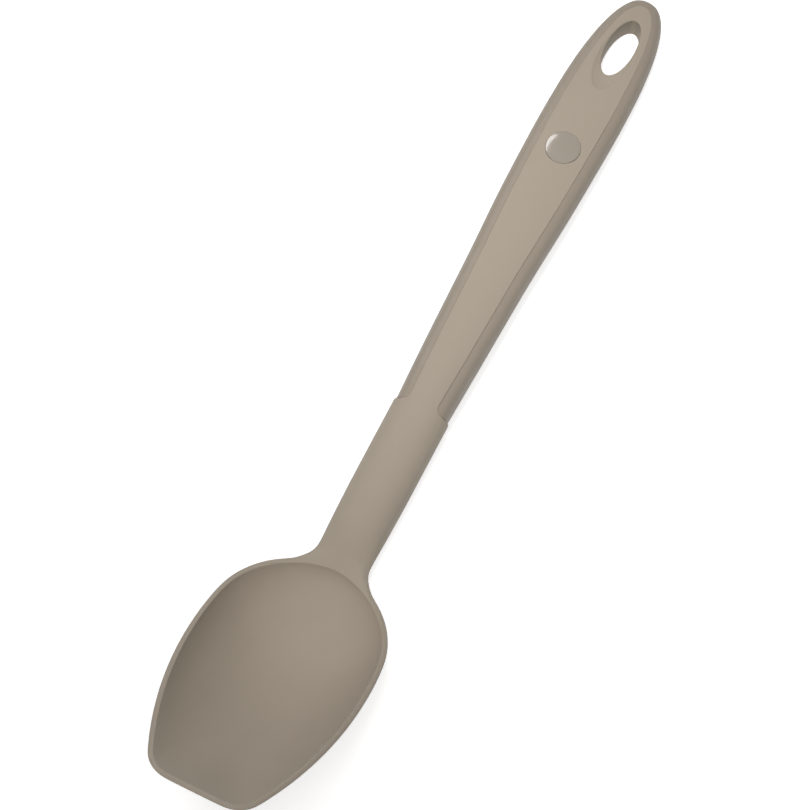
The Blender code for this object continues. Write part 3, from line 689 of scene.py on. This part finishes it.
seat_rows = [oval_point(INLAY_AT, SEAT_OVAL, k)[0] for k in range(11, 2, -1)]
hole_rows = [oval_point(HOLE_AT, HOLE_OVAL, k)[0] for k in range(11, 2, -1)]
shank_rows = [0.3, 0.7, 1.3, 2.0, 3.2, 5.5] + [9.0 + 70.2 * k / 18 for k in range(19)]
bar_rows = shank_rows + seat_rows + [94.3, 97.2, 100.2, 103.2, 106.0] + hole_rows
FIRST_ROW = 200
SEAT_ROW = FIRST_ROW + len(shank_rows)
HOLE_ROW = FIRST_ROW + len(bar_rows) - 9
for number, along in enumerate(bar_rows, FIRST_ROW):
    extrude_to([bar_point(along, panel_half(along), k) for k in range(32)], number)
print("handle:", len(bar_rows), "rows, seat from row", SEAT_ROW - FIRST_ROW, "hole from row", HOLE_ROW - FIRST_ROW)

# %% [markdown]
# The panel ends in a blunt round tip. If the rows simply shrank to nothing, they would bunch up there, so the last
# row is laid along the rounded end itself, and a short wall of faces is then drawn down from the front panel's end
# to the back panel's.

# %% Rounded end of the soft middle
print("the rails' inner line ends at, mm:", HANDLE_LENGTH - RAIL_WIDTH)
END_PLACES = (138.98, 138.88, 138.43, 137.46, 135.7)  # for the columns from the middle outwards
BEFORE_END = (137.3, 137.2, 136.75, 135.85, 134.3)


def end_point(level, inset):
    """A point on the rounded end's outline, moved inwards by the inset."""
    along = END_PLACES[level]
    y = panel_half(along) if level else 0.0
    ahead = panel_half(along - 0.05)
    slope = Vector((0.05, -(ahead - y))).normalized() if level else Vector((0.0, 1.0))
    inward = Vector((-abs(slope.y), -abs(slope.x)))
    return along + inward.x * inset, max(0.0, y + inward.y * inset)


def before_end_loop():
    loop = []
    for k in range(32):
        side, face, level = on_section(k)
        if level < 4:
            along = BEFORE_END[level]
            y = (panel_half(BEFORE_END[4]) - edge_round(along)) * (0, 0.26, 0.51, 0.76)[level]
            loop.append(on_arc(along, side * y, face * panel_height(along, y)))
        else:
            loop.append(bar_point(BEFORE_END[4], panel_half(BEFORE_END[4]), k))
    return loop


# %% Wall of the rounded end


def end_wall_point(level_across, down, side):
    """A place on the end wall: columns across it, and how far down, from 4 at the front edge to 12 at the back."""
    face = 1 if down <= 8 else -1
    level = down if down <= 8 else 16 - down
    round_off = edge_round(HANDLE_LENGTH)
    along, y = end_point(level_across, {4: round_off, 5: round_off * 0.3}.get(level, 0.0))
    edge = panel_height(along, y)
    height = edge if level == 4 else wall_level(level, edge, round_off)
    return on_arc(along, side * y, face * height)


def end_loop():
    loop = []
    for k in range(32):
        side, face, level = on_section(k)
        if level <= 4:
            loop.append(end_wall_point(level, 8 - 4 * face, side))
        else:
            loop.append(end_wall_point(4, level if face > 0 else 16 - level, side))
    return loop


extrude_to(before_end_loop(), 290)
extrude_to(end_loop(), 291)
select_where(lambda column, row: row == 291 and (column <= 4 or column >= 28))
for down in range(5, 13):
    wall = {k % 32: end_wall_point(abs(k), down, 1 if k >= 0 else -1) for k in range(-4, 5)}
    extrude_to(wall, 292 + down)
WELD = 0.01 * MM  # points closer than this are one
bpy.ops.mesh.select_all(action="SELECT")
bpy.ops.mesh.remove_doubles(threshold=WELD)
mesh, column, row = edited()
print("open edges after closing the tip:", sum(1 for e in mesh.edges if len(e.link_faces) != 2))

# %% [markdown]
# The hang hole is a clean oval through both panels. On the front a shallow scoop runs into it from the bowl's side,
# so that a thumb finds it: its edge is crisp where it starts and dies out along the hole. Loops are grown inwards
# from the pushed block, down over a small round edge, and meet half way through the handle.

# %% Opening a block of faces onto an oval


def block_number(column, row, first_row):
    """Which of the 28 points of the block's edge this vertex is, or None."""
    across = column if column <= 16 else column - 32
    along = row - first_row
    if not (0 <= along <= 8 and abs(across) <= 3):
        return None
    if along == 8:
        return across % 28
    if along == 0:
        return 14 - across
    if across == 3:
        return 11 - along
    if across == -3:
        return 17 + along
    return None


def open_block(first_row, face, points):
    """Deletes the block's faces on the front (1) or back (-1) panel and puts its edge on the given points."""

    def faced(column):
        return column if face > 0 else (16 - column) % 32

    def inside(column, row):
        across = faced(column) if faced(column) <= 16 else faced(column) - 32
        return abs(across) <= 3 and first_row <= row <= first_row + 8

    select_where(inside)
    bpy.ops.mesh.delete(type="FACE")
    picked = select_where(lambda column, row: block_number(faced(column), row, first_row) is not None)
    mesh, column, row = edited()
    for vertex in mesh.verts:
        if vertex.select:
            vertex[column] = block_number(faced(vertex[column]), vertex[row], first_row)
    bmesh.update_edit_mesh(skin.data)
    place_loop(points, 400)
    return picked


print("points round a block:", sum(block_number(k, r, 0) is not None for k in range(32) for r in range(9)))

# %% Ovals on a panel
SCOOP_AT, SCOOP_DEPTH = HOLE_AT - 4.0, 1.2
SCOOP_REACH, SCOOP_HALF_WIDTH = 11.7, 4.95


def scoop_depth(along, y):
    out = ((along - SCOOP_AT) / SCOOP_REACH) ** 2 + (y / SCOOP_HALF_WIDTH) ** 2
    return SCOOP_DEPTH * max(0.0, 1 - out) ** 0.7


def panel_oval(centre, oval, face, sink, scooped):
    """Points of an oval on a panel's surface, sunk below it, with the scoop taken off where there is one."""
    points = []
    for k in range(28):
        along, y = oval_point(centre, oval, k)
        down = sink + (scoop_depth(along, y) if scooped else 0.0)
        points.append(on_arc(along, y, face * (panel_height(along, y) - down)))
    return points


print("scoop, mm deep:", scoop_depth(SCOOP_AT, 0.0))

# %% Hang hole and its scoop
LONG, WIDE = HOLE_LENGTH / 2, HOLE_WIDTH / 2
print("front block:", open_block(HOLE_ROW, 1, panel_oval(HOLE_AT, HOLE_OVAL, 1, 0.0, False)), "points")
FRONT_RIMS = (
    ((LONG + 1.05, 15.85, WIDE + 0.9), 0.0),
    ((LONG + 0.9, 15.6, WIDE + 0.75), 0.02),
    ((LONG + 0.75, 15.1, WIDE + 0.62), 0.02),
    ((LONG + 0.6, 12.8, WIDE + 0.48), 0.02),
    ((LONG + 0.3, LONG + 0.3, WIDE + 0.2), 0.03),
    ((LONG - 0.05, LONG - 0.05, WIDE - 0.08), 0.14),
    ((LONG - 0.15, LONG - 0.18, WIDE - 0.2), 0.5),
)
for oval, sink in FRONT_RIMS:
    extrude_to(panel_oval(HOLE_AT, oval, 1, sink, True), 401)
middle = [on_arc(*oval_point(HOLE_AT, (LONG - 0.08, LONG - 0.08, WIDE - 0.08), k), 0.0) for k in range(28)]
extrude_to(middle, 402)

print("back block:", open_block(HOLE_ROW, -1, panel_oval(HOLE_AT, HOLE_OVAL, -1, 0.0, False)), "points")
BACK_RIMS = ((0.9, 13.0, 0.0), (0.4, LONG + 0.4, 0.0), (0.05, LONG + 0.05, 0.1), (-0.08, LONG - 0.08, 0.42))
for extra, rear, sink in BACK_RIMS:
    extrude_to(panel_oval(HOLE_AT, (LONG + extra, rear, WIDE + min(extra, 0.5)), -1, sink, False), 403)
extrude_to(middle, 404)

# %% [markdown]
# The inlay lies in a round pocket of the front panel. The pocket is opened in the same way as the hole, but one face
# closes its floor, flat and deep enough that the inlay covers it.

# %% Seat of the round inlay
open_block(SEAT_ROW, 1, panel_oval(INLAY_AT, SEAT_OVAL, 1, 0.0, False))
for wider, sink in ((0.26, 0.0), (0.1, 0.015), (0.04, 0.09), (0.04, 0.7)):
    radius = INLAY_RADIUS + wider
    extrude_to(panel_oval(INLAY_AT, (radius, radius, radius), 1, sink, False), 405)
bpy.ops.mesh.edge_face_add()
print("seat of an inlay", 2 * INLAY_RADIUS, "mm across")

# %% [markdown]
# The loops that met are merged, the faces are turned outwards and the subdivision surface is applied. Soft silicone
# has no sharp edge anywhere, so the whole skin is shaded smooth. At rest the heel and the tip are flat on the table.

# %% Finish the skin


def finish_form(obj):
    """Turns the edited cage's faces outwards, smooths its form and rests it on the table."""
    bpy.ops.mesh.select_all(action="SELECT")
    bpy.ops.mesh.normals_make_consistent(inside=False)
    mesh, column, row = edited()
    gaps = sum(1 for edge in mesh.edges if len(edge.link_faces) != 2)
    print(obj.name, "cage:", len(mesh.faces), "faces, open edges:", gaps)
    bpy.ops.object.mode_set(mode="OBJECT")
    surface = obj.modifiers.new("smooth form", "SUBSURF")
    surface.levels = surface.render_levels = 2
    bpy.ops.object.modifier_apply(modifier=surface.name)
    bpy.ops.object.shade_smooth()
    for vertex in obj.data.vertices:
        vertex.co.z = max(vertex.co.z, 0.0)
    triangles = sum(len(p.vertices) - 2 for p in obj.data.polygons)
    print(obj.name, "has", triangles, "triangles")


bpy.ops.mesh.select_all(action="SELECT")
bpy.ops.mesh.remove_doubles(threshold=WELD)
finish_form(skin)

# %% [markdown]
# The rails are one long moulding that starts at the sleeve, goes round the tip and comes back. It is swept: one
# rounded section of sixteen points is extruded from place to place, stretched between the rail's inner line and its
# outer line, which keeps its narrow ends and its broad tip in one piece.

# %% Outer and inner line of the rails
TIP_STEPS = 13
RAIL_SWELL = 0.24  # added to the outer side for the same reason as the neck's swell


def rail_places():
    """(outer, inner, along) for one rail, from the sleeve to the middle of the tip."""
    places = []
    for along in [0.04, 0.14, 0.4, 0.9, 1.5, 2.3, 3.4, 5.5] + [9.0 + 86.5 * k / 21 for k in range(22)]:
        places.append(((along, shank_half(along)), (along, panel_half(along, 0.0)), along))
    for k in range(TIP_STEPS + 1):
        turn = math.pi / 2 * k / TIP_STEPS
        reach, half = math.sin(turn) ** (2 / TIP_FULLNESS), max(0.0, math.cos(turn)) ** (2 / TIP_FULLNESS)
        outer = (WIDEST_AT + TIP_ROUNDING * reach, shank_half(WIDEST_AT) * half)
        inner = (WIDEST_AT + (TIP_ROUNDING - RAIL_WIDTH) * reach, (shank_half(WIDEST_AT) - RAIL_WIDTH) * half)
        places.append((outer, inner, (outer[0] + inner[0]) / 2))
    return places


def rail_section(outer, inner, along, mirror):
    """Sixteen points: the inner wall, its small round edge, the broad rounded back and the same below."""
    top = panel_height(*inner) - through(PANEL_PROUD, along / HANDLE_LENGTH)
    outer, inner = Vector(outer), Vector(inner)
    wide = (outer - inner).length
    across = (outer - inner).normalized()
    upper = [(0.0, top * 0.5), (0.0, top - RAIL_ROUND), (RAIL_ROUND * 0.2, top - RAIL_ROUND * 0.2), (RAIL_ROUND, top)]
    upper += [(wide * 0.50, top * 0.925), (wide * 0.80, top * 0.70), (wide * 0.955, top * 0.38)]
    half = [(0.0, 0.0)] + upper + [(wide + RAIL_SWELL, 0.0)] + [(out, -height) for out, height in reversed(upper)]
    points = []
    for out, height in half:
        spot = inner + across * out
        points.append(on_arc(spot.x, mirror * spot.y, height))
    return points


print("places along one rail:", len(rail_places()))

# %% Sweep the rails
one_side = rail_places()
sweep = [(place, 1) for place in one_side] + [(place, -1) for place in reversed(one_side[:-1])]
rails = start_loop("rails", 16, 2 * MM, lay_down(on_arc(0.04, 7.0, 0)))
place_loop(rail_section(*sweep[0][0], sweep[0][1]), 0)
bpy.ops.mesh.edge_face_add()
select_where(lambda column, row: row == 0)
for number, (place, mirror) in enumerate(sweep[1:], 1):
    extrude_to(rail_section(*place, mirror), number)
finish_form(rails)

# %% [markdown]
# The inlay is a plain, slightly domed disc. It could be turned with Spin, but a circle whose loops are extruded
# inwards gives the same disc with an even, rounded edge. It lies square to the handle where the handle droops.

# %% Round inlay
INLAY_DOME, INLAY_FULLNESS = 0.5, 2.6
INLAY_SIDE = ((INLAY_RADIUS, -0.55), (INLAY_RADIUS, -0.18), (4.98, -0.03))  # radius and height, up the side
INLAY_TOP = (4.9, 4.6, 4.0, 3.2, 2.3, 1.4, 0.6)


def dome(radius):
    return INLAY_DOME * (1 - (radius / INLAY_RADIUS) ** INLAY_FULLNESS)


def inlay_loop(radius, height):
    top = panel_height(INLAY_AT, 0.0)
    points = []
    for k in range(32):
        turn = 2 * math.pi * k / 32
        points.append(on_arc(INLAY_AT + radius * math.cos(turn), radius * math.sin(turn), top + height))
    return points


inlay = start_loop("inlay", 32, INLAY_RADIUS * MM, lay_down(on_arc(INLAY_AT, 0, 5)))
place_loop(inlay_loop(INLAY_RADIUS - 0.2, -0.6), 0)
bpy.ops.mesh.edge_face_add()
select_where(lambda column, row: row == 0)
for radius, height in INLAY_SIDE + tuple((radius, dome(radius)) for radius in INLAY_TOP):
    extrude_to(inlay_loop(radius, height), 1)
bpy.ops.mesh.edge_face_add()
finish_form(inlay)

# %% [markdown]
# Moulded silicone and nylon look plain, but they aren't one flat colour: the pigment clouds very slightly, the
# matte mould leaves a fine grain and handling leaves smoother and rougher patches. All three are in one node group
# that every finish uses, with its own sizes. It reads Object coordinates, so the grain is fixed to the spoon.

# %% Shared grain of the moulds


def grain_group():
    group = bpy.data.node_groups.new("mould grain", "ShaderNodeTree")
    sockets = group.interface
    sockets.new_socket("Place", in_out="INPUT", socket_type="NodeSocketVector")
    for name, value in (("Cloud Scale", 60.0), ("Grain Scale", 2600.0), ("Patch Scale", 140.0)):
        sockets.new_socket(name, in_out="INPUT", socket_type="NodeSocketFloat").default_value = value
    for name in ("Cloud", "Patch", "Height"):
        sockets.new_socket(name, in_out="OUTPUT", socket_type="NodeSocketFloat")
    nodes, links = group.nodes, group.links
    enter, leave = nodes.new("NodeGroupInput"), nodes.new("NodeGroupOutput")
    leave.location = (800, 0)
    for number, (scale, out, detail) in enumerate(
        (("Cloud Scale", "Cloud", 3.0), ("Patch Scale", "Patch", 4.0), ("Grain Scale", "Height", 2.0))
    ):
        noise = nodes.new("ShaderNodeTexNoise")
        noise.location = (300, 250 - 260 * number)
        noise.inputs["Detail"].default_value = detail
        links.new(enter.outputs["Place"], noise.inputs["Vector"])
        links.new(enter.outputs[scale], noise.inputs["Scale"])
        links.new(noise.outputs["Fac"], leave.inputs[out])
    return group


GRAIN = grain_group()
print("shared group:", GRAIN.name, "with", len(GRAIN.nodes), "nodes")

# %% A moulded finish


def moulded(name, low, high, rough, grain, height, cloud_scale=60.0, grain_scale=2600.0):
    """Material whose colour clouds from low to high and whose roughness runs over the given pair."""
    material = bpy.data.materials.new(name)
    material.use_nodes = True
    nodes, links = material.node_tree.nodes, material.node_tree.links
    shader = nodes["Principled BSDF"]
    place = nodes.new("ShaderNodeTexCoord")
    place.location = (-1100, 0)
    group = nodes.new("ShaderNodeGroup")
    group.node_tree = GRAIN
    group.location = (-850, 0)
    group.inputs["Cloud Scale"].default_value = cloud_scale
    group.inputs["Grain Scale"].default_value = grain_scale
    links.new(place.outputs["Object"], group.inputs["Place"])
    colour = nodes.new("ShaderNodeMix")
    colour.data_type = "RGBA"
    colour.location = (-450, 200)
    colour.inputs["A"].default_value = (*low, 1)
    colour.inputs["B"].default_value = (*high, 1)
    links.new(group.outputs["Cloud"], colour.inputs["Factor"])
    links.new(colour.outputs["Result"], shader.inputs["Base Color"])
    spread = nodes.new("ShaderNodeMapRange")
    spread.location = (-450, -100)
    spread.inputs["From Min"].default_value = 0.3
    spread.inputs["From Max"].default_value = 0.7
    spread.inputs["To Min"].default_value, spread.inputs["To Max"].default_value = rough
    links.new(group.outputs["Patch"], spread.inputs["Value"])
    links.new(spread.outputs["Result"], shader.inputs["Roughness"])
    bump = nodes.new("ShaderNodeBump")
    bump.location = (-250, -350)
    bump.inputs["Strength"].default_value = grain
    bump.inputs["Distance"].default_value = height
    links.new(group.outputs["Height"], bump.inputs["Height"])
    links.new(bump.outputs["Normal"], shader.inputs["Normal"])
    return material, shader


# %% [markdown]
# Silicone scatters light softly near its edges, so it gets a faint sheen over a matte body. The nylon is the same
# warm grey, a shade darker and a little smoother. The inlay is glossy. The stiff core is never seen, but it gets
# a plain moulded finish too, so that the model is complete when it is taken apart.

# %% Finishes of the pieces
silicone, shader = moulded("soft skin", (0.42, 0.359, 0.285), (0.446, 0.381, 0.303), (0.55, 0.66), 0.35, 0.00004)
shader.inputs["Sheen Weight"].default_value = 0.12
shader.inputs["Sheen Roughness"].default_value = 0.5
shader.inputs["Specular IOR Level"].default_value = 0.4
nylon, shader = moulded(
    "hard rails", (0.334, 0.283, 0.225), (0.352, 0.298, 0.237), (0.42, 0.52), 0.3, 0.00003, grain_scale=3200.0
)
gloss, shader = moulded(
    "inlay gloss", (0.305, 0.255, 0.193), (0.322, 0.27, 0.206), (0.19, 0.24), 0.1, 0.00001, 90.0, 4200.0
)
shader.inputs["Specular IOR Level"].default_value = 1.0
shader.inputs["Coat Weight"].default_value = 1.0
shader.inputs["Coat IOR"].default_value = 1.62
shader.inputs["Coat Roughness"].default_value = 0.1
core_finish, shader = moulded("hidden core", (0.045, 0.045, 0.045), (0.057, 0.057, 0.056), (0.4, 0.5), 0.3, 0.00003)

for piece, material, slot, node in (
    (skin, silicone, "silicone", "silicone_skin"),
    (rails, nylon, "nylon", "handle_frame"),
    (inlay, gloss, "badge_gloss", "badge_disc"),
):
    piece.data.materials.clear()
    piece.data.materials.append(material)
    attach(piece, "root")
    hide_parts(node)
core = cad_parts["stiffening_core"]
for number in range(len(core.material_slots)):
    core.material_slots[number].material = core_finish
print("finishes:", [m.name for m in (silicone, nylon, gloss, core_finish)])

# %% [markdown]
# The table is a plain pale floor. The photograph's background is pure white, and it must not come from more light,
# which would bleach the spoon. So the floor shows some light of its own, to the camera and in clear reflections only:
# open floor reaches white, the shadow under the spoon still reads, and no extra light falls on the silicone.

# %% Floor


def seen_or_mirrored(nodes, links):
    """One for a ray from the camera or off a glossy surface, zero for the light that falls on things."""
    path = nodes.new("ShaderNodeLightPath")
    either = nodes.new("ShaderNodeMath")
    either.operation = "MAXIMUM"
    links.new(path.outputs["Is Camera Ray"], either.inputs[0])
    links.new(path.outputs["Is Glossy Ray"], either.inputs[1])
    return either.outputs[0]


bpy.ops.object.select_all(action="DESELECT")
bpy.ops.mesh.primitive_plane_add(size=6, location=(0, 0, 0))
floor = bpy.context.object
floor.name = "pale_floor"
paper = bpy.data.materials.new("pale floor")
paper.use_nodes = True
nodes, links = paper.node_tree.nodes, paper.node_tree.links
body = nodes["Principled BSDF"]
body.inputs["Base Color"].default_value = (0.8, 0.8, 0.8, 1)
body.inputs["Roughness"].default_value = 0.9
body.inputs["Specular IOR Level"].default_value = 0.0
glow = nodes.new("ShaderNodeEmission")
share = nodes.new("ShaderNodeMath")
share.operation = "MULTIPLY"
share.inputs[1].default_value = 0.66
both = nodes.new("ShaderNodeAddShader")
links.new(seen_or_mirrored(nodes, links), share.inputs[0])
links.new(share.outputs[0], glow.inputs["Strength"])
links.new(body.outputs["BSDF"], both.inputs[0])
links.new(glow.outputs["Emission"], both.inputs[1])
links.new(both.outputs["Shader"], nodes["Material Output"].inputs["Surface"])
floor.data.materials.append(paper)
floor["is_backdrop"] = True
print("stage:", floor.name)

# %% [markdown]
# The photograph has soft light from above and from the near side: the panels are bright, the right rail and the left
# wall of the bowl are darker, and nothing has a hard edge. Two large area lamps do that, and a dim world fills the
# shadows. The bright crescent on the inlay is the reflection of a narrower strip light beyond the spoon. The handle
# is also about a fifth brighter than the bowl, which one even light can't give, so a soft spot lamp hangs over it.
# The broad lamps and the spot are kept out of reflections, because only the strip is mirrored in the real inlay.
# The world shows white to the camera, beyond the floor's edge.

# %% Lamps


def softbox(name, direction, distance, sides, power, turn=0.0):
    """An area lamp that faces the spoon from a direction given as right, away and up, turned in its own plane."""
    toward = (to_right * direction[0] + to_far * direction[1] + Vector((0, 0, direction[2]))).normalized()
    bpy.ops.object.light_add(type="AREA", location=toward * distance)
    lamp = bpy.context.object
    lamp.name = name
    lamp.data.shape = "RECTANGLE"
    lamp.data.size, lamp.data.size_y = sides
    lamp.data.energy = power
    lamp.rotation_euler = (toward.to_track_quat("Z", "Y") @ Quaternion((0, 0, 1), math.radians(turn))).to_euler()
    return lamp


soft_light = [
    softbox("top_softbox", (0.0, 0.0, 1.0), 1.6, (1.3, 1.3), 9.4),
    softbox("near_softbox", (-0.17, -0.55, 0.8), 1.6, (1.3, 1.3), 5.2),
]
softbox("strip_softbox", (-0.28, 0.66, 0.72), 1.6, (1.0, 0.4), 4.6, turn=34)

bpy.ops.object.light_add(type="SPOT", location=(0.055, 0, 1.2))
snoot = bpy.context.object
snoot.name = "handle_snoot"
snoot.data.energy = 18.1
snoot.data.spot_size = math.radians(14.3)
snoot.data.spot_blend = 1.0
snoot.data.shadow_soft_size = 0.06
for lamp in soft_light + [snoot]:
    lamp.visible_glossy = False

# %% World and view
world = bpy.data.worlds.new("studio")
bpy.context.scene.world = world
world.use_nodes = True
nodes, links = world.node_tree.nodes, world.node_tree.links
dim = nodes["Background"]
dim.inputs["Color"].default_value = (1, 1, 1, 1)
dim.inputs["Strength"].default_value = 0.05
white = nodes.new("ShaderNodeBackground")
white.inputs["Strength"].default_value = 1.0
pick = nodes.new("ShaderNodeMixShader")
links.new(seen_or_mirrored(nodes, links), pick.inputs["Fac"])
links.new(dim.outputs["Background"], pick.inputs[1])
links.new(white.outputs["Background"], pick.inputs[2])
links.new(pick.outputs["Shader"], nodes["World Output"].inputs["Surface"])
bpy.context.scene.view_settings.view_transform = "Standard"
print("world strength:", round(dim.inputs["Strength"].default_value, 3))

# %% [markdown]
# The dressed spoon must not outgrow its solids. Both boxes are printed side by side.

# %% Print the sizes of the solids and of the dressed spoon
looks_box = [[float(v) for v in corner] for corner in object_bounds()]
for name, box in (("CAD", cad_box), ("looks", looks_box)):
    print(name, "box, mm:", [[round(v * 1000, 2) for v in corner] for corner in box])
